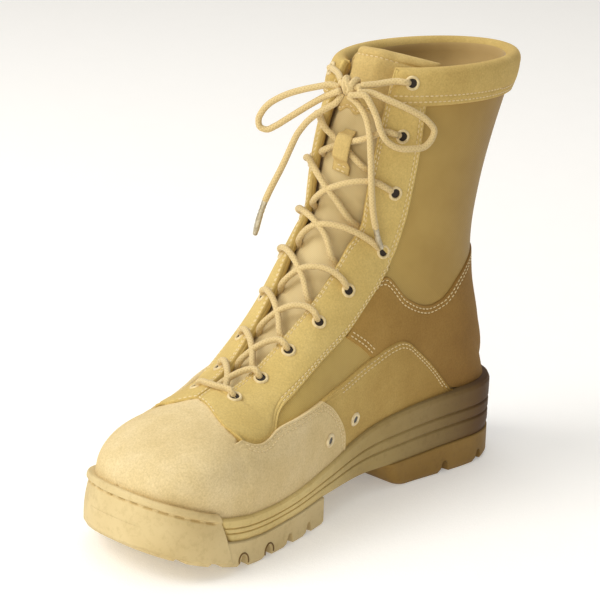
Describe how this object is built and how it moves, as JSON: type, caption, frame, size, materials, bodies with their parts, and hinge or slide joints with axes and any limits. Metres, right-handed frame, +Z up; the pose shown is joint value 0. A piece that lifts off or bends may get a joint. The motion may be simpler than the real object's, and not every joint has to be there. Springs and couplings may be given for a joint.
{
  "type": "military boot",
  "caption": "Tall lace-up military boot for the right foot: suede and nylon upper with padded collar, derby eyestays, wrapped toe bumper and lugged rubber sole.",
  "frame": {"origin": "bottom centre of the boot's bounding box, on the floor, with the free lace ends left out", "axes": "+Z up, -Y towards the toe, +Y towards the heel, +X towards the medial side of this right boot"},
  "size_m": [0.1174, 0.3218, 0.2594],
  "materials": {
    "suede": "matt napped suede",
    "nylon": "matt woven nylon over lining",
    "tongue_nylon": "matt woven nylon, padded",
    "lining": "matt brushed lining",
    "midsole_rubber": "satin moulded rubber",
    "tread_rubber": "satin moulded rubber",
    "heel_rubber": "satin moulded rubber",
    "eyelet_enamel": "enamelled, satin",
    "vent_metal": "worn satin metal",
    "cord": "braided polyester cord",
    "aglet_metal": "crimped metal tip"
  },
  "bodies": {
    "root": {"upper": "nylon", "tongue": "tongue_nylon", "insole": "lining", "midsole": "midsole_rubber", "outsole_forefoot": "tread_rubber", "outsole_heel": "heel_rubber", "vamp": "suede", "counter": "suede", "cuff": "suede", "foxing_medial": "suede", "foxing_lateral": "suede", "eyestay_medial": "suede", "eyestay_lateral": "suede", "eyelet_medial_1": "eyelet_enamel", "eyelet_medial_2": "eyelet_enamel", "eyelet_medial_3": "eyelet_enamel", "eyelet_medial_4": "eyelet_enamel", "eyelet_medial_5": "eyelet_enamel", "eyelet_medial_6": "eyelet_enamel", "eyelet_medial_7": "eyelet_enamel", "eyelet_medial_8": "eyelet_enamel", "eyelet_medial_9": "eyelet_enamel", "eyelet_lateral_1": "eyelet_enamel", "eyelet_lateral_2": "eyelet_enamel", "eyelet_lateral_3": "eyelet_enamel", "eyelet_lateral_4": "eyelet_enamel", "eyelet_lateral_5": "eyelet_enamel", "eyelet_lateral_6": "eyelet_enamel", "eyelet_lateral_7": "eyelet_enamel", "eyelet_lateral_8": "eyelet_enamel", "eyelet_lateral_9": "eyelet_enamel", "vent_1": "vent_metal", "vent_2": "vent_metal", "lace_bar": "cord", "lace_cross_2": "cord", "lace_cross_3": "cord", "lace_cross_4": "cord", "lace_cross_5": "cord", "lace_cross_6": "cord", "lace_cross_7": "cord", "lace_cross_8": "cord", "lace_top_medial": "cord", "lace_top_lateral": "cord", "lace_knot": "cord", "lace_loop_medial": "cord", "lace_loop_lateral": "cord", "lace_end_medial": "cord", "lace_end_lateral": "cord", "lace_keeper": "suede", "aglet_medial": "aglet_metal", "aglet_lateral": "aglet_metal"}
  },
  "joints": []
}
